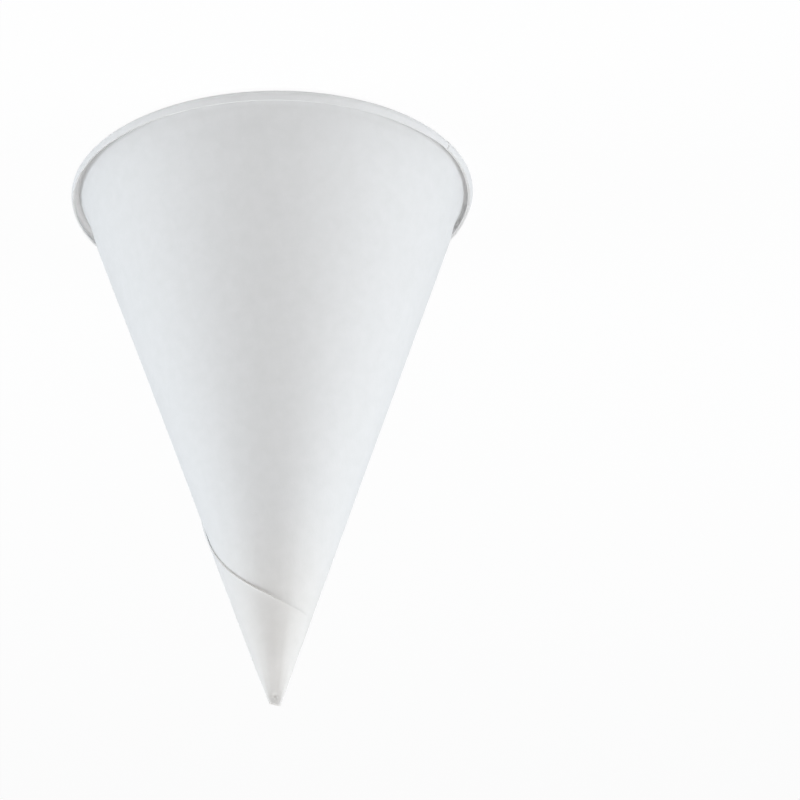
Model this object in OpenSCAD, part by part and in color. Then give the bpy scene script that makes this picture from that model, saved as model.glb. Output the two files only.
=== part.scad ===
// Cone paper cup, standing on its mouth with the tip up, as it is stored and as it rests.
// One sheet of paper is wound round a cone, glued to itself, and its mouth is rolled outward.
// Z = 0 is the flat on which the rolled rim rests, and the Z axis is the axis of the cone.

/* [Cup] */
// Outside diameter over the rolled rim
rim_d = 73; // [66:1:84]
// Height from the rest under the rim to the end of the tip
cup_h = 97; // [88:1:110]
// Width of the blunt end of the tip
tip_w = 2.2; // [1.8:0.1:2.6]

/* [Paper] */
// Thickness of the paper
paper_t = 0.25; // [0.2:0.01:0.27]
// Glue and air between one layer and the next
glue_gap = 0.03; // [0.02:0.01:0.04]

/* [Rolled rim] */
// Radius of the roll, measured to the face of the paper that shows
roll_r = 0.95; // [0.85:0.05:1.3]
// How far the paper turns round in the roll
roll_angle = 180; // [166:1:192]
// Straight edge of paper left past the roll
roll_lip = 0.8; // [0.3:0.05:1]
// Width of the flat under the rim, pressed by the roller
rim_flat = 0.4; // [0.3:0.05:0.6]

/* [Winding] */
// Direction in which the inner end of the sheet lies, in degrees from the front
start_azimuth = -58.7; // [-180:0.1:180]
// Turns that the sheet makes round the mouth
mouth_turns = 1.396; // [1.3:0.01:1.5]
// Turns at the outer corner of the cut edge, near the tip
corner_turns = 2.1; // [2.05:0.01:2.15]
// Slant distance of that corner from the point of the cone
corner_slant = 17.7; // [15:0.1:20]
// Turns at the outer end of the sheet
end_turns = 2.35; // [2.25:0.01:2.45]
// Slant distance at which the outer end of the sheet leaves the cut edge
end_slant = 7.6; // [7:0.1:9]
// Length, round the cup, over which the sheet climbs over its own inner end
climb_l = 9; // [7:0.5:14]

/* [Tip] */
// Length over which the layers draw in to the tip
draw_l = 37; // [28:1:44]
// Length of the pinched end
pinch_l = 8; // [6:1:12]
// Thickness that the pinch leaves, front to back, as a share of the width
pinch_share = 0.72; // [0.6:0.02:1]
// Thickness that the layers keep where they are pressed together at the tip
press_share = 0.8; // [0.75:0.01:0.95]
// Slope of the cut across the end of the tip
tip_slope = 10; // [0:1:14]

/* [Facets] */
// Flat facets in one turn of the sheet
turn_facets = 48; // [36:4:52]

/* [Hidden] */

// One layer of paper with its glue
pitch = paper_t + glue_gap;

// Centre of the roll, in the plane of a section: distance from the axis, and height
flat_half_angle = asin(rim_flat / 2 / roll_r);
roll_x = rim_d / 2 - roll_r;
roll_z = roll_r * cos(flat_half_angle);

// Half angle of the cone, so that its mean outer face joins the roll to the blunt tip
mean_face = paper_t + pitch / 2;
rise = cup_h - roll_z;
run = roll_x - tip_w / 2;
half_angle = acos((roll_r - mean_face) / norm([run, rise])) - atan2(rise, run);

// Point of the inner cone, and unit vectors down the slant and out of the paper
cone_z = roll_z + (roll_x * cos(half_angle) - roll_r) / sin(half_angle);
slant = [sin(half_angle), -cos(half_angle)];
outward = [cos(half_angle), sin(half_angle)];

// Slant distances of the inner face from the point of the cone: tip, nose rows, start of the roll
outer_n = (floor(end_turns) * pitch + paper_t) * press_share;
tip_z = cup_h - outer_n * outward[1];
tip_s = (cone_z - tip_z) / cos(half_angle);
nose_l = pinch_l / 2;
nose_s = tip_s + nose_l;
roll_s = (cone_z - roll_z) / cos(half_angle) + roll_r * tan(half_angle);
lip_s = roll_s + roll_r * roll_angle * PI / 180;
rim_s = lip_s + roll_lip;

// How much the inner face draws in at the tip
draw_in = tip_s * sin(half_angle) + outer_n * outward[0] - tip_w / 2;

// Rows of the sheet, as shares of the nose and of the straight wall, and as angles of the roll
nose_row_shares = [0, 0.25, 0.6];
wall_row_shares = [0, 0.04, 0.1, 0.2, 0.35, 0.55, 0.78];
inner_roll_shares = [0, 1 / 3, 2 / 3];
outer_roll_shares = [0, 1 / 3, 2 / 3, 1];
flat_from = 90 - half_angle - flat_half_angle;
flat_to = 90 - half_angle + flat_half_angle;
widest = 180 - half_angle;
roll_angles = [
    for (share = inner_roll_shares) flat_from * share,
    flat_from,
    for (share = outer_roll_shares) flat_to + (widest - flat_to) * share,
    roll_angle
];
rows = [
    for (share = nose_row_shares) tip_s + nose_l * share,
    for (share = wall_row_shares) nose_s + (roll_s - nose_s) * share,
    for (angle = roll_angles) roll_s + roll_r * angle * PI / 180,
    rim_s
];

// Share of the way up the draw or the pinch, squared so that it starts smoothly
function eased(z, length) = pow(max(0, 1 - (tip_z - z) / length), 2);

// A point of the sheet in the section: s down the inner face, n out of the paper
function on_wall(s, n) =
    let (z = cone_z + s * slant[1], drawn = eased(z, draw_l))
    s * slant - [draw_in * drawn, 0] + n * (1 - (1 - press_share) * drawn) * outward + [0, cone_z];
function on_roll(angle, n) =
    [roll_x, roll_z] + (roll_r - n) * (slant * sin(angle) - outward * cos(angle));
function on_lip(past, n) =
    on_roll(roll_angle, n) + past * (slant * cos(roll_angle) + outward * sin(roll_angle));
function section_point(s, n) =
    s <= roll_s ? on_wall(s, n)
    : s <= lip_s ? on_roll((s - roll_s) / roll_r * 180 / PI, n)
    : on_lip(s - lip_s, n);

// How far out the sheet lies: one layer more each time it has climbed over its inner end
most_climb_share = 0.5;
function climb_turns(s) = min(most_climb_share, climb_l / (2 * PI * s * sin(half_angle)));
function smooth(x) = x * x * (3 - 2 * x);
function climbed(turns, s) =
    floor(turns) + smooth(max(0, (turns - floor(turns) - 1) / climb_turns(s) + 1));

// A point of the section turned to its place, with the pinch and the slope of the tip
function placed(p, azimuth) =
    let (pinched = eased(p[1], pinch_l), x = p[0] * sin(azimuth), y = -p[0] * cos(azimuth))
    [
        x,
        y * (1 - (1 - pinch_share) * pinched),
        p[1] - (x + tip_w / 2) * tan(tip_slope) * pinched
    ];
function facet_point(facet, s, side) =
    let (turns = facet / turn_facets)
    placed(section_point(s, climbed(turns, s) * pitch + side * paper_t), start_azimuth - 360 * turns);

// Between two facet edges the sheet is flat, so a corner there lies on the flat
function sheet_point(turns, s, side) =
    let (at = turns * turn_facets, near = round(at), low = floor(at), part = at - low)
    abs(at - near) < tiny_share
    ? facet_point(near, s, side)
    : facet_point(low, s, side) * (1 - part) + facet_point(low + 1, s, side) * part;
tiny_share = 0.001;

// A corner of the sheet that lies close to a facet edge is moved onto it
snap_share = 0.25;
function snapped(turns) =
    let (at = turns * turn_facets)
    abs(at - round(at)) < snap_share ? round(at) / turn_facets : turns;

// Straight cut on the flat sheet between two corners, each given in turns and slant distance
function cut_s(turns, from, to) =
    let (unrolled = 360 * sin(half_angle))
    sin((to[0] - from[0]) * unrolled)
    / (sin((turns - from[0]) * unrolled) / to[1] + sin((to[0] - turns) * unrolled) / from[1]);
mouth_corner = [snapped(mouth_turns), roll_s];
tip_corner = [snapped(corner_turns), corner_slant];
end_corner = [snapped(end_turns), end_slant];
function edge_s(turns) =
    turns <= tip_corner[0] ? cut_s(turns, mouth_corner, tip_corner)
    : cut_s(turns, tip_corner, end_corner);

// Columns of the sheet, in turns: every facet edge, and the corners that lie between two of them
last_facet = ceil(end_corner[0] * turn_facets - snap_share);
columns = [
    for (i = [0 : last_facet - 1])
        each [
            i / turn_facets,
            for (corner = [mouth_corner, tip_corner, end_corner])
                if (corner[0] > (i + snap_share / 2) / turn_facets
                    && corner[0] < (i + 1 - snap_share / 2) / turn_facets)
                    corner[0]
        ],
    if (abs(end_corner[0] * turn_facets - last_facet) < snap_share / 2) last_facet / turn_facets
];

// The columns up to the corner at the mouth run on through the roll, and the others end at the cut
full_columns = len([for (turns = columns) if (turns <= mouth_corner[0]) turns]);
full_rows = len(rows);
cut_rows = len([for (s = rows) if (s <= roll_s) s]);

// Row k of a column past the mouth: the nose rows are shared, and the rest close up to the cut
function row_s(turns, k) =
    turns <= mouth_corner[0] || rows[k] <= nose_s ? rows[k]
    : nose_s + (rows[k] - nose_s) * (edge_s(turns) - nose_s) / (roll_s - nose_s);

// The wound sheet: both of its faces as strips of triangles, and its cut edges between them
module cone_cup() {
    last_column = len(columns) - 1;
    function row_count(i) = i < full_columns ? full_rows : cut_rows;
    points = [
        for (side = [0, 1])
            for (i = [0 : last_column])
                for (k = [0 : row_count(i) - 1])
                    sheet_point(columns[i], row_s(columns[i], k), side)
    ];
    face_points = len(points) / 2;
    function at(side, i, k) =
        side * face_points + i * full_rows - max(0, i - full_columns) * (full_rows - cut_rows) + k;
    inner_face = [
        for (i = [0 : last_column - 1])
            for (k = [0 : row_count(i + 1) - 2])
                each [
                    [at(0, i, k), at(0, i + 1, k + 1), at(0, i, k + 1)],
                    [at(0, i, k), at(0, i + 1, k), at(0, i + 1, k + 1)]
                ]
    ];
    outer_face = [for (f = inner_face) [f[2] + face_points, f[1] + face_points, f[0] + face_points]];

    // Each cut edge goes round the sheet from one inner point to the next
    function edge_between(from, to) = [
        [from, to, to + face_points],
        [from, to + face_points, from + face_points]
    ];
    mouth_edge = [
        for (i = [0 : last_column - 1])
            let (k = row_count(i + 1) - 1)
            each edge_between(at(0, i, k), at(0, i + 1, k))
    ];
    tip_edge = [for (i = [0 : last_column - 1]) each edge_between(at(0, i + 1, 0), at(0, i, 0))];
    start_edge = [for (k = [0 : full_rows - 2]) each edge_between(at(0, 0, k), at(0, 0, k + 1))];
    roll_end_edge = [
        for (k = [cut_rows - 1 : full_rows - 2])
            let (i = full_columns - 1)
            each edge_between(at(0, i, k + 1), at(0, i, k))
    ];
    outer_end_edge = [
        for (k = [0 : cut_rows - 2])
            each edge_between(at(0, last_column, k + 1), at(0, last_column, k))
    ];
    edges = concat(mouth_edge, tip_edge, start_edge, roll_end_edge, outer_end_edge);
    color([0.93, 0.94, 0.95])
        polyhedron(points = points, faces = concat(inner_face, outer_face, edges), convexity = 8);
}

cone_cup();
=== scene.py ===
import math
import bpy
from mathutils import Matrix, Vector


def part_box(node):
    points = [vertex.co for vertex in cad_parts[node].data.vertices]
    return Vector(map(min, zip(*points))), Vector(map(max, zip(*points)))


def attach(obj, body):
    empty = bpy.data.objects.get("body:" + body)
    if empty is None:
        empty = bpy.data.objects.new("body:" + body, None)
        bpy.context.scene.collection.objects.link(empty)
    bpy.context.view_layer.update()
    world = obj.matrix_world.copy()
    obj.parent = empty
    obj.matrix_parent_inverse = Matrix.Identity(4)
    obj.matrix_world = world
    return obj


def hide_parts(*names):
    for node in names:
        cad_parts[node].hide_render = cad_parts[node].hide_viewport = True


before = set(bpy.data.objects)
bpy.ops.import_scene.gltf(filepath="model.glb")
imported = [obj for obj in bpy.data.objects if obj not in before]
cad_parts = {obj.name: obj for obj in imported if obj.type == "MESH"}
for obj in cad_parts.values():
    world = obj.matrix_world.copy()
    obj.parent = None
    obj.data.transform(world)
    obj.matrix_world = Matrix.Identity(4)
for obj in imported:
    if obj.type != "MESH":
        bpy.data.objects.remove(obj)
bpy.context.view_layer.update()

# The wound sheet is the whole cup: one blank of white uncoated paper a quarter of a millimetre thick.
# A machine winds it about two and a third turns round a cone, glues it to itself, rolls the mouth
# outward over a forming ring and pinches the layers shut at the tip.
low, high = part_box("cone_cup")
rim_radius = (high[0] - low[0]) / 2
cup_height = high[2] - low[2]
paper_thickness = 0.00025
layer_pitch = 0.00028

# The rolled rim, its slightly uneven lip, and the flare of the wall just above it
roll_radius = 0.00095
roll_turn = math.radians(180)
roll_over = math.radians(4)
roll_lip = 0.0008
lip_tilt = 0.0002
lip_dip = 0.00036
lip_dip_azimuth = math.radians(-62)
lip_dip_narrowness = 39.0
rim_flat = 0.0004
mouth_flare = 0.00035
flare_length = 0.003

# The cuts of the flat blank, in turns from its inner end and in distance from the cone's point
start_azimuth = math.radians(-58.7)
mouth_turns = 1.396
corner_turns = 2.1
corner_slant = 0.0177
end_turns = 2.35
end_slant = 0.0076
climb_length = 0.009

# The outer cut stands off between the mouth and the corner, and the wall waves and has a slight waist
edge_lift = 0.00013
lift_length = 0.0012
lift_start, lift_rise, lift_fall = 0.07, 0.2, 0.13
wall_wave = 0.00008
wave_round, wave_down, wave_fade = 2.2, 18, 0.02
wall_waist = 0.0003

# The tip is drawn in, pressed together, pinched from front to back, cut at a slope and dented
draw_length = 0.037
press_share = 0.8
pinch_length = 0.008
pinch_share = 0.85
tip_width = 0.0022
tip_slope = math.radians(16)
tip_lean = 0.00094
dent_depth = 0.0004
dent_size = 0.00034
dent_side = -0.00002
dent_height = cup_height - 0.00145

# The cone between the roll and the tip, and how far the tip is drawn inside it
roll_x = rim_radius - roll_radius
roll_z = math.sqrt(roll_radius**2 - (rim_flat / 2) ** 2)
mean_face = paper_thickness + layer_pitch / 2
rise, run = cup_height - roll_z, roll_x - tip_width / 2
half_angle = math.acos((roll_radius - mean_face) / math.hypot(run, rise)) - math.atan2(rise, run)
cone_z = roll_z + (roll_x * math.cos(half_angle) - roll_radius) / math.sin(half_angle)
outer_layer = (math.floor(end_turns) * layer_pitch + paper_thickness) * press_share
tip_z = cup_height - outer_layer * math.sin(half_angle)
tip_slant = (cone_z - tip_z) / math.cos(half_angle)
roll_slant = (cone_z - roll_z) / math.cos(half_angle) + roll_radius * math.tan(half_angle)
draw_in = tip_slant * math.sin(half_angle) + outer_layer * math.cos(half_angle) - tip_width / 2

winding = bpy.data.node_groups.new("paper_winding", "GeometryNodeTree")
winding.interface.new_socket("Cup", in_out="OUTPUT", socket_type="NodeSocketGeometry")
winding_sizes = {
    "Half Angle": half_angle,
    "Cone Point Height": cone_z,
    "Tip Height": tip_z,
    "Tip Slant": tip_slant,
    "Roll Slant": roll_slant,
    "Roll Radius": roll_radius,
    "Roll Turn": roll_turn,
    "Roll Lip": roll_lip,
    "Lip Tilt": lip_tilt,
    "Lip Dip": lip_dip,
    "Lip Dip Azimuth": lip_dip_azimuth,
    "Lip Dip Narrowness": lip_dip_narrowness,
    "Roll Over": roll_over,
    "Paper Thickness": paper_thickness,
    "Layer Pitch": layer_pitch,
    "Start Azimuth": start_azimuth,
    "Mouth Turns": mouth_turns,
    "Corner Turns": corner_turns,
    "Corner Slant": corner_slant,
    "End Turns": end_turns,
    "End Slant": end_slant,
    "Climb Length": climb_length,
    "Draw In": draw_in,
    "Draw Length": draw_length,
    "Pinch Length": pinch_length,
    "Pinch Share": pinch_share,
    "Press Share": press_share,
    "Tip Slope": tip_slope,
    "Tip Width": tip_width,
    "Edge Lift": edge_lift,
    "Lift Length": lift_length,
    "Wall Wave": wall_wave,
    "Tip Lean": tip_lean,
    "Dent Depth": dent_depth,
    "Dent Size": dent_size,
    "Dent Side": dent_side,
    "Dent Height": dent_height,
    "Mouth Flare": mouth_flare,
    "Flare Length": flare_length,
    "Wall Waist": wall_waist,
}
size_sockets = {
    size_name: winding.interface.new_socket(
        size_name, in_out="INPUT", socket_type="NodeSocketFloat"
    )
    for size_name in winding_sizes
}
sizes_in = winding.nodes.new("NodeGroupInput")


class Measure:
    """A number that the winding works out at each point, so that its sums read as sums."""

    def __init__(self, socket):
        self.socket = socket

    def worked(self, operation, *others):
        node = winding.nodes.new("ShaderNodeMath")
        node.operation = operation
        for slot, value in enumerate((self, *others)):
            if isinstance(value, Measure):
                winding.links.new(value.socket, node.inputs[slot])
            else:
                node.inputs[slot].default_value = value
        return Measure(node.outputs[0])

    def __add__(self, other):
        return self.worked("ADD", other)

    def __sub__(self, other):
        return self.worked("SUBTRACT", other)

    def __mul__(self, other):
        return self.worked("MULTIPLY", other)

    def __truediv__(self, other):
        return self.worked("DIVIDE", other)

    def __rsub__(self, other):
        return self.worked("MULTIPLY", -1).worked("ADD", other)

    __radd__ = __add__
    __rmul__ = __mul__


def size(name):
    return Measure(sizes_in.outputs[name])


def sine(angle):
    return angle.worked("SINE")


def cosine(angle):
    return angle.worked("COSINE")


def share_within(value):
    return value.worked("MAXIMUM", 0).worked("MINIMUM", 1)


def eased(height, length):
    """Grows from 0 at this length below the tip to 1 at the tip."""
    return (1 - (size("Tip Height") - height) / length).worked("MAXIMUM", 0).worked("POWER", 2)


def smoothed(value):
    """Grows from 0 to 1 with no corner at either end."""
    within = share_within(value)
    return within * within * (3 - 2 * within)


def climbed(turns, slant):
    """The number of layers that lie under the sheet, with its climb over its own inner end."""
    round_length = slant * sine(size("Half Angle")) * math.tau
    climb_turns = (size("Climb Length") / round_length).worked("MINIMUM", 0.5)
    first, second = (smoothed((turns - edge) / climb_turns + 0.5) for edge in (1, 2))
    return first + second


def noise(x, y, z):
    """Soft noise from -1 to 1."""
    place = winding.nodes.new("ShaderNodeCombineXYZ")
    for slot, value in zip(place.inputs, (x, y, z)):
        winding.links.new(value.socket, slot)
    texture = winding.nodes.new("ShaderNodeTexNoise")
    texture.inputs["Scale"].default_value = 1.0
    texture.inputs["Detail"].default_value = 1.0
    winding.links.new(place.outputs[0], texture.inputs["Vector"])
    return (Measure(texture.outputs["Fac"]) - 0.5) * 2


def named(geometry, name, value, kind="FLOAT", domain="POINT"):
    """The geometry with a value kept on it under a name, for the material or a later node."""
    stored = winding.nodes.new("GeometryNodeStoreNamedAttribute")
    stored.data_type, stored.domain = kind, domain
    stored.inputs["Name"].default_value = name
    winding.links.new(geometry, stored.inputs["Geometry"])
    winding.links.new(value, stored.inputs["Value"])
    return stored.outputs["Geometry"]


def cut_slant(turns, from_turns, from_slant, to_turns, to_slant):
    """Distance from the cone's point to a cut that is straight in the flat blank."""
    unrolled = sine(size("Half Angle")) * math.tau
    near_part = sine((turns - from_turns) * unrolled) / to_slant
    far_part = sine((to_turns - turns) * unrolled) / from_slant
    return sine((to_turns - from_turns) * unrolled) / (near_part + far_part)


# The waist grows as up * up * (1 - up), which this brings to 1 at its deepest, two thirds of the way up
waist_peak = 27 / 4


def wound_patch(columns, rows, turns_of, slant_of, roll_of, lift_of):
    """One stretch of the sheet's inner face as a grid, wound to its place."""
    grid = winding.nodes.new("GeometryNodeMeshGrid")
    grid.inputs["Vertices X"].default_value = columns + 1
    grid.inputs["Vertices Y"].default_value = rows + 1
    split = winding.nodes.new("ShaderNodeSeparateXYZ")
    winding.links.new(grid.outputs["UV Map"], split.inputs[0])
    along, down = Measure(split.outputs["X"]), Measure(split.outputs["Y"])
    turns = turns_of(along)
    slant = slant_of(turns, down)
    azimuth = size("Start Azimuth") - turns * math.tau
    aside, ahead = sine(azimuth), cosine(azimuth)
    down_x, down_z = sine(size("Half Angle")), -1 * cosine(size("Half Angle"))
    out_x, out_z = cosine(size("Half Angle")), sine(size("Half Angle"))
    # The wall: a cone, drawn in toward the tip, with its layers pressed together there
    height = size("Cone Point Height") + slant * down_z
    drawn = eased(height, size("Draw Length"))
    layer_count = climbed(turns, slant)
    layer = layer_count * size("Layer Pitch")
    pressed = layer * (1 - (1 - size("Press Share")) * drawn)
    wave = noise(aside * wave_round, ahead * wave_round, slant * wave_down) * size("Wall Wave")
    wave = wave * smoothed((size("Roll Slant") - slant) / wave_fade)
    above_roll = (size("Roll Slant") - slant).worked("MAXIMUM", 0) / size("Flare Length")
    flare = smoothed(above_roll) * (1 - smoothed((above_roll - 1) / 2)) * size("Mouth Flare")
    up = share_within(height / size("Tip Height"))
    waist = up * up * (1 - up) * waist_peak * size("Wall Waist")
    off_cone = pressed + wave + lift_of(turns, slant) - flare - waist
    hollow = slant * down_x - size("Draw In") * drawn
    radius = hollow + off_cone * out_x
    height = height + off_cone * out_z
    # The rolled rim and the straight lip at its end, which never reach below the floor
    rolled_part, lip_part = roll_of(down)
    roll = rolled_part * (size("Roll Turn") + smoothed(aside * -1) * size("Roll Over"))
    from_dip = cosine(azimuth - size("Lip Dip Azimuth")) - 1
    dipped = (from_dip * size("Lip Dip Narrowness")).worked("EXPONENT")
    lip_length = size("Roll Lip") - aside * size("Lip Tilt") - dipped * size("Lip Dip")
    lip = lip_part * lip_length
    turn_in = (size("Roll Radius") - layer) * sine(roll) + lip * cosine(roll)
    turn_out = (size("Roll Radius") - layer) * (1 - cosine(roll)) + lip * sine(roll)
    radius = radius + turn_in * down_x + turn_out * out_x
    height = (height + turn_in * down_z + turn_out * out_z).worked("MAXIMUM", 0)
    # The tip: it leans aside, its hollow is pinched shut, and it has a dent in front and a sloping end
    pinched = eased(height, size("Pinch Length"))
    side = radius * aside + size("Tip Lean") * (height / size("Tip Height"))
    depth = (radius - hollow * pinched) * (1 - (1 - size("Pinch Share")) * pinched)
    front = depth * ahead * -1
    from_tip_middle = side - size("Tip Lean")
    dent_x = (from_tip_middle - size("Dent Side")) / size("Dent Size")
    dent_z = (height - size("Dent Height")) / size("Dent Size")
    dent = ((dent_x * dent_x + dent_z * dent_z) * -0.5).worked("EXPONENT")
    front = front + dent * share_within(ahead * 4) * size("Dent Depth")
    slope = (from_tip_middle + size("Tip Width") / 5) * size("Tip Slope").worked("TANGENT")
    height = height - slope * pinched
    place = winding.nodes.new("ShaderNodeCombineXYZ")
    for slot, value in zip(place.inputs, (side, front, height)):
        winding.links.new(value.socket, slot)
    set_place = winding.nodes.new("GeometryNodeSetPosition")
    winding.links.new(grid.outputs["Mesh"], set_place.inputs["Geometry"])
    winding.links.new(place.outputs[0], set_place.inputs["Position"])
    # The same point on the flat blank, where the paper's fibres run
    flat = winding.nodes.new("ShaderNodeCombineXYZ")
    flat_angle = turns * (sine(size("Half Angle")) * math.tau)
    flat_reach = slant + roll * size("Roll Radius") + lip
    winding.links.new((flat_reach * cosine(flat_angle)).socket, flat.inputs["X"])
    winding.links.new((flat_reach * sine(flat_angle)).socket, flat.inputs["Y"])
    # Near its inner end the sheet fills only the room under the next turn, which still climbs there
    over_start = climbed(turns + 1, slant) - layer_count
    glue = size("Layer Pitch") - size("Paper Thickness")
    thickness = over_start * size("Layer Pitch") - glue
    geometry = named(set_place.outputs[0], "flat_blank", flat.outputs[0], "FLOAT_VECTOR")
    least = thickness.worked("MINIMUM", size("Paper Thickness"))
    return named(geometry, "sheet_thickness", least.socket)


wall_rows, roll_rows, lip_rows = 80, 20, 2
full_rows = wall_rows + roll_rows + lip_rows
columns_per_turn = 180
tip_crowding, edge_crowding = 2.2, 1.6


def wall_slant(reach):
    """Rows from the tip down to the roll, or to a cut, closer together toward both ends."""
    def slant_of(turns, down):
        part = share_within(down * (full_rows / wall_rows)) if reach is None else down
        end = size("Roll Slant") if reach is None else reach(turns)
        far = (1 - part.worked("POWER", tip_crowding)).worked("POWER", edge_crowding)
        return end + (size("Tip Slant") - end) * far
    return slant_of


def rolled(down):
    """The shares of the roll and of the lip that a row has reached."""
    part = share_within((down * full_rows - wall_rows) / roll_rows)
    lip_part = share_within((down * full_rows - wall_rows - roll_rows) / lip_rows)
    return part, lip_part


def straight(down):
    return down * 0, down * 0


def long_cut(turns):
    return cut_slant(
        turns, size("Mouth Turns"), size("Roll Slant"), size("Corner Turns"), size("Corner Slant")
    )


def short_cut(turns):
    return cut_slant(
        turns, size("Corner Turns"), size("Corner Slant"), size("End Turns"), size("End Slant")
    )


def glued_down(turns, slant):
    return slant * 0


def lifted(turns, slant):
    """How far the sheet stands off along the long cut."""
    near_cut = share_within(1 - (long_cut(turns) - slant) / size("Lift Length"))
    from_mouth = smoothed((turns - size("Mouth Turns") - lift_start) / lift_rise)
    from_corner = smoothed((size("Corner Turns") - turns) / lift_fall)
    return near_cut * near_cut * from_mouth * from_corner * size("Edge Lift")


# The blank's three stretches: below the mouth, along the long cut, and along the short cut to its end
patches = [
    wound_patch(
        round(mouth_turns * columns_per_turn),
        full_rows,
        lambda along: along * size("Mouth Turns"),
        wall_slant(None),
        rolled,
        glued_down,
    ),
    wound_patch(
        round((corner_turns - mouth_turns) * columns_per_turn),
        wall_rows,
        lambda along: size("Mouth Turns") + along * (size("Corner Turns") - size("Mouth Turns")),
        wall_slant(long_cut),
        straight,
        lifted,
    ),
    wound_patch(
        round((end_turns - corner_turns) * columns_per_turn),
        wall_rows,
        lambda along: size("Corner Turns") + along * (size("End Turns") - size("Corner Turns")),
        wall_slant(short_cut),
        straight,
        glued_down,
    ),
]
# The inner face is welded and given the paper's thickness, and both faces are closed into one skin
weld_distance = 1e-7
joined = winding.nodes.new("GeometryNodeJoinGeometry")
for patch in patches:
    winding.links.new(patch, joined.inputs[0])
welded = winding.nodes.new("GeometryNodeMergeByDistance")
welded.inputs["Distance"].default_value = weld_distance
winding.links.new(joined.outputs[0], welded.inputs["Geometry"])
thickness_there = winding.nodes.new("GeometryNodeInputNamedAttribute")
thickness_there.inputs["Name"].default_value = "sheet_thickness"
outer = winding.nodes.new("GeometryNodeExtrudeMesh")
outer.inputs["Individual"].default_value = False
winding.links.new(welded.outputs[0], outer.inputs["Mesh"])
winding.links.new(thickness_there.outputs["Attribute"], outer.inputs["Offset Scale"])
outer_marked = named(outer.outputs["Mesh"], "cut_face", outer.outputs["Side"], "FLOAT", "FACE")
inner = winding.nodes.new("GeometryNodeFlipFaces")
winding.links.new(welded.outputs[0], inner.inputs["Mesh"])
both = winding.nodes.new("GeometryNodeJoinGeometry")
winding.links.new(outer_marked, both.inputs[0])
winding.links.new(inner.outputs[0], both.inputs[0])
closed = winding.nodes.new("GeometryNodeMergeByDistance")
closed.inputs["Distance"].default_value = weld_distance
realized = winding.nodes.new("GeometryNodeRealizeInstances")
finished = winding.nodes.new("GeometryNodeSetMaterial")
cup_out = winding.nodes.new("NodeGroupOutput")
winding.links.new(both.outputs[0], closed.inputs["Geometry"])
winding.links.new(closed.outputs[0], realized.inputs[0])
winding.links.new(realized.outputs[0], finished.inputs["Geometry"])
winding.links.new(finished.outputs[0], cup_out.inputs["Cup"])

# Uncoated paper: fibres that lie three ways, faint clouds and streaks, laid out on the flat blank
paper_dark = (0.835, 0.836, 0.834, 1)
paper_light = (0.868, 0.866, 0.868, 1)
# Painted light colour: a warm tint toward the tip, standing in for the lamps' light being less cool
# there.
tip_painted_light_tint = (1.02, 1.0, 0.975, 1)
tip_warm_from, tip_warm_to = 0.040, 0.012
# Painted highlight: the cut faces are made lighter than the paper.
cut_painted_highlight = (1.12, 1.12, 1.11, 1)
smooth_fibre, rough_fibre = 0.72, 0.90
relief_depth = 0.00006
paper = bpy.data.materials.new("white_paper")
paper.use_nodes = True
paper_nodes, paper_links = paper.node_tree.nodes, paper.node_tree.links
paper_shader = paper_nodes["Principled BSDF"]
blank_place = paper_nodes.new("ShaderNodeAttribute")
blank_place.attribute_name = "flat_blank"


def paper_texture(stretch, scale, detail, turn):
    """Noise on the flat blank, turned and stretched along one way of the fibres."""
    mapping = paper_nodes.new("ShaderNodeMapping")
    mapping.inputs["Rotation"].default_value = (0, 0, math.radians(turn))
    mapping.inputs["Scale"].default_value = (1, stretch, 1)
    texture = paper_nodes.new("ShaderNodeTexNoise")
    texture.inputs["Scale"].default_value = scale
    texture.inputs["Detail"].default_value = detail
    texture.inputs["Roughness"].default_value = 0.6
    paper_links.new(blank_place.outputs["Vector"], mapping.inputs["Vector"])
    paper_links.new(mapping.outputs[0], texture.inputs["Vector"])
    return texture.outputs["Fac"]


def paper_sum(operation, first, second):
    """A sum of the material, from textures and plain numbers."""
    node = paper_nodes.new("ShaderNodeMath")
    node.operation = operation
    for slot, value in enumerate((first, second)):
        if isinstance(value, float):
            node.inputs[slot].default_value = value
        else:
            paper_links.new(value, node.inputs[slot])
    return node.outputs[0]


fibres = paper_sum(
    "MAXIMUM", paper_texture(0.12, 5200, 2, 20), paper_texture(0.12, 4700, 2, -35)
)
fibres = paper_sum("MAXIMUM", fibres, paper_texture(0.15, 4100, 2, 80))
clouds = paper_texture(1, 420, 3, 0)
streaks = paper_texture(0.1, 300, 2, 90)
tone = paper_sum("ADD", paper_sum("MULTIPLY", clouds, 0.6), paper_sum("MULTIPLY", fibres, 0.25))
tone = paper_sum("ADD", tone, paper_sum("MULTIPLY", streaks, 0.15))
tone_ramp = paper_nodes.new("ShaderNodeValToRGB")
tone_ramp.color_ramp.elements[0].position = 0.40
tone_ramp.color_ramp.elements[0].color = paper_dark
tone_ramp.color_ramp.elements[1].position = 0.68
tone_ramp.color_ramp.elements[1].color = paper_light
paper_links.new(tone, tone_ramp.inputs["Fac"])
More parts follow.
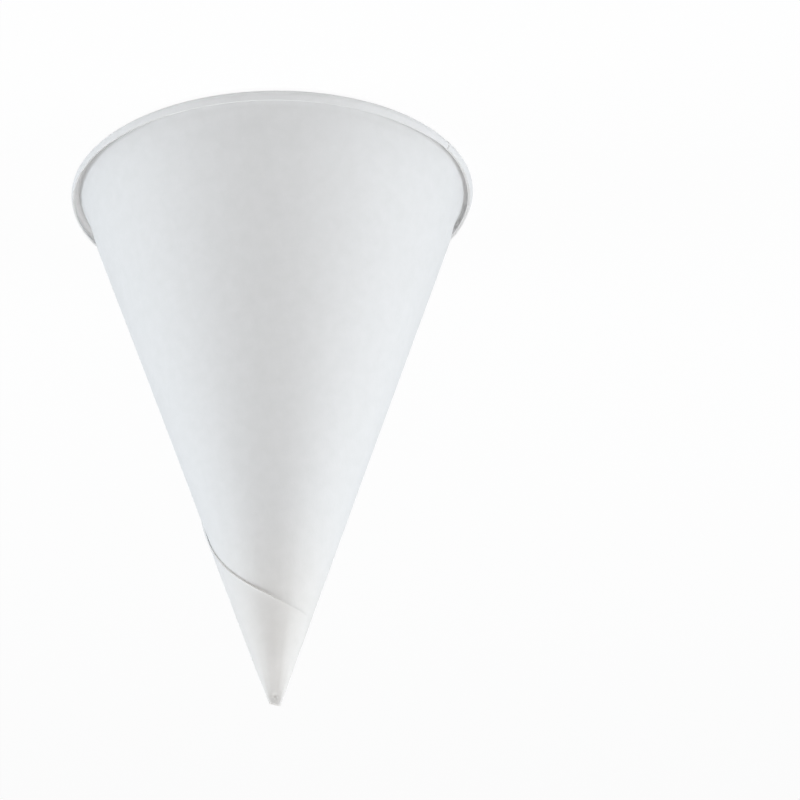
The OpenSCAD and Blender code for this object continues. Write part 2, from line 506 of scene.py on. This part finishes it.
# Painted light colour: the paper is tinted a little warmer toward the tip, standing in for the lamps'
# light being less cool there.
from_tip = paper_nodes.new("ShaderNodeVectorMath")
from_tip.operation = "LENGTH"
paper_links.new(blank_place.outputs["Vector"], from_tip.inputs[0])
tip_share = paper_nodes.new("ShaderNodeMapRange")
tip_share.interpolation_type = "SMOOTHSTEP"
tip_share.inputs["From Min"].default_value = tip_warm_to
tip_share.inputs["From Max"].default_value = tip_warm_from
tip_share.inputs["To Min"].default_value = 1.0
tip_share.inputs["To Max"].default_value = 0.0
paper_links.new(from_tip.outputs["Value"], tip_share.inputs["Value"])
tip_painted_tint = paper_nodes.new("ShaderNodeMix")
tip_painted_tint.data_type = "RGBA"
tip_painted_tint.blend_type = "MULTIPLY"
tip_painted_tint.inputs["B"].default_value = tip_painted_light_tint
paper_links.new(tip_share.outputs[0], tip_painted_tint.inputs["Factor"])
paper_links.new(tone_ramp.outputs["Color"], tip_painted_tint.inputs["A"])
# Painted highlight: the cut faces of the sheet are made about an eighth lighter, giving a bright line
# along the cut edges.
cut_here = paper_nodes.new("ShaderNodeAttribute")
cut_here.attribute_name = "cut_face"
cut_highlight_paint = paper_nodes.new("ShaderNodeMix")
cut_highlight_paint.data_type = "RGBA"
cut_highlight_paint.blend_type = "MULTIPLY"
cut_highlight_paint.inputs["B"].default_value = cut_painted_highlight
paper_links.new(cut_here.outputs["Fac"], cut_highlight_paint.inputs["Factor"])
paper_links.new(tip_painted_tint.outputs["Result"], cut_highlight_paint.inputs["A"])
paper_links.new(cut_highlight_paint.outputs["Result"], paper_shader.inputs["Base Color"])
rough_range = paper_nodes.new("ShaderNodeMapRange")
rough_range.inputs["From Min"].default_value = 0.35
rough_range.inputs["From Max"].default_value = 0.75
rough_range.inputs["To Min"].default_value = rough_fibre
rough_range.inputs["To Max"].default_value = smooth_fibre
paper_links.new(fibres, rough_range.inputs["Value"])
paper_links.new(rough_range.outputs[0], paper_shader.inputs["Roughness"])
paper_shader.inputs["Specular IOR Level"].default_value = 0.35
relief = paper_sum("ADD", paper_sum("MULTIPLY", fibres, 0.7), paper_sum("MULTIPLY", clouds, 0.5))
bump = paper_nodes.new("ShaderNodeBump")
bump.inputs["Strength"].default_value = 0.35
bump.inputs["Distance"].default_value = relief_depth
paper_links.new(relief, bump.inputs["Height"])
paper_links.new(bump.outputs[0], paper_shader.inputs["Normal"])
finished.inputs["Material"].default_value = paper

sharp_edge = math.radians(40)
cup = bpy.data.objects.new("paper_cup", bpy.data.meshes.new("paper_cup"))
bpy.context.scene.collection.objects.link(cup)
wind = cup.modifiers.new("wind", "NODES")
wind.node_group = winding
for size_name, socket in size_sockets.items():
    wind[socket.identifier] = winding_sizes[size_name]
evaluated = cup.evaluated_get(bpy.context.evaluated_depsgraph_get())
cup_mesh = bpy.data.meshes.new_from_object(evaluated)
cup.modifiers.clear()
cup.data = cup_mesh
cup_mesh.shade_smooth()
cup_mesh.set_sharp_from_angle(angle=sharp_edge)
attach(cup, "root")
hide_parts("cone_cup")

# The floor is a plain sheet of white board without an edge in view, and the cup stands on it on its
# rim. The camera sees it nearly as pure white, with a faint shadow of the cup on it.
floor_half = 3.0
floor_under_rim = 0.00003
floor_white = (0.93, 0.93, 0.93, 1)
floor_pure_white = 0.94
floor_corners = [
    (x * floor_half, y * floor_half, -floor_under_rim)
    for x, y in ((-1, -1), (1, -1), (1, 1), (-1, 1))
]
floor_mesh = bpy.data.meshes.new("floor")
floor_mesh.from_pydata(floor_corners, [], [(0, 1, 2, 3)])
floor = bpy.data.objects.new("floor", floor_mesh)
bpy.context.scene.collection.objects.link(floor)
floor_paint = bpy.data.materials.new("floor_white")
floor_paint.use_nodes = True
floor_nodes, floor_links = floor_paint.node_tree.nodes, floor_paint.node_tree.links
floor_shader = floor_nodes["Principled BSDF"]
floor_shader.inputs["Base Color"].default_value = floor_white
floor_shader.inputs["Roughness"].default_value = 1.0
floor_glow = floor_nodes.new("ShaderNodeEmission")
floor_glow.inputs["Strength"].default_value = 1.0
floor_mix = floor_nodes.new("ShaderNodeMixShader")
floor_path = floor_nodes.new("ShaderNodeLightPath")
floor_seen = floor_nodes.new("ShaderNodeMath")
floor_seen.operation = "MULTIPLY"
floor_seen.inputs[1].default_value = floor_pure_white
floor_links.new(floor_path.outputs["Is Camera Ray"], floor_seen.inputs[0])
floor_links.new(floor_seen.outputs[0], floor_mix.inputs[0])
floor_links.new(floor_shader.outputs[0], floor_mix.inputs[1])
floor_links.new(floor_glow.outputs[0], floor_mix.inputs[2])
floor_links.new(floor_mix.outputs[0], floor_nodes["Material Output"].inputs["Surface"])
floor_mesh.materials.append(floor_paint)

# Soft boxes light the cup from both sides, a weaker one from the front and one from nearly overhead.
# Each is a square of cloth on a stand, at its own azimuth and elevation about the middle of the cup.
light_aim = Vector((0, 0, 0.045))
light_distance = 0.6
cool_tint, warm_tint, plain_tint = (0.94, 1.0, 1.05), (1.03, 1.0, 0.975), (1.01, 1.0, 0.99)


def soft_box(name, azimuth, elevation, width, power, tint):
    light = bpy.data.lights.new(name, "AREA")
    light.shape = "SQUARE"
    light.size = width
    light.energy = power
    light.color = tint
    holder = bpy.data.objects.new(name, light)
    bpy.context.scene.collection.objects.link(holder)
    around, up = math.radians(azimuth), math.radians(elevation)
    out = math.cos(up)
    to_light = Vector((out * math.sin(around), -out * math.cos(around), math.sin(up)))
    holder.location = light_aim + to_light * light_distance
    holder.rotation_mode = "QUATERNION"
    holder.rotation_quaternion = (-to_light).to_track_quat("-Z", "Y")


soft_box("left_box", 90, 21, 0.36, 2.14, cool_tint)
soft_box("right_box", -86, 24, 0.36, 1.82, cool_tint)
soft_box("front_box", -4, 27, 0.35, 0.70, warm_tint)
soft_box("top_box", -90, 80, 0.35, 1.40, plain_tint)

# A dim white surround fills the shadows, and a pale grey backdrop stands beyond the floor's far edge,
# out of the picture.
surround_strength = 0.08
backdrop_grey = (0.8, 0.8, 0.8, 1)
world = bpy.data.worlds.new("studio")
bpy.context.scene.world = world
world.use_nodes = True
world_nodes, world_links = world.node_tree.nodes, world.node_tree.links
surround = world_nodes["Background"]
surround.inputs["Color"].default_value = (1, 1, 1, 1)
surround.inputs["Strength"].default_value = surround_strength
backdrop = world_nodes.new("ShaderNodeBackground")
backdrop.inputs["Color"].default_value = backdrop_grey
backdrop.inputs["Strength"].default_value = 1.0
backdrop_path = world_nodes.new("ShaderNodeLightPath")
backdrop_mix = world_nodes.new("ShaderNodeMixShader")
world_links.new(backdrop_path.outputs["Is Camera Ray"], backdrop_mix.inputs[0])
world_links.new(surround.outputs[0], backdrop_mix.inputs[1])
world_links.new(backdrop.outputs[0], backdrop_mix.inputs[2])
world_links.new(backdrop_mix.outputs[0], world_nodes["World Output"].inputs["Surface"])
bpy.context.scene.view_settings.view_transform = "Standard"

# The camera looks at the cup's front from above the floor and hangs upside down, so that the tip
# points down in the picture.
camera_elevation = math.radians(23.970)
camera_distance = 0.4229
camera_lens = 109.158
camera_shift = (0.15470, 0.04900)
camera_roll = math.radians(180 - 0.932)
target = Vector((0, 0, cup_height / 2))
toward_camera = Vector((0, -math.cos(camera_elevation), math.sin(camera_elevation)))
camera_place = target + toward_camera * camera_distance
camera = bpy.data.objects.new("camera", bpy.data.cameras.new("camera"))
bpy.context.scene.collection.objects.link(camera)
camera.data.lens = camera_lens
camera.data.sensor_width = 36
camera.data.shift_x, camera.data.shift_y = camera_shift
camera.data.clip_start, camera.data.clip_end = 0.01, 20
look = (target - camera_place).to_track_quat("-Z", "Y").to_matrix()
turned = look @ Matrix.Rotation(camera_roll, 3, "Z")
camera.matrix_world = Matrix.Translation(camera_place) @ turned.to_4x4()
bpy.context.scene.camera = camera
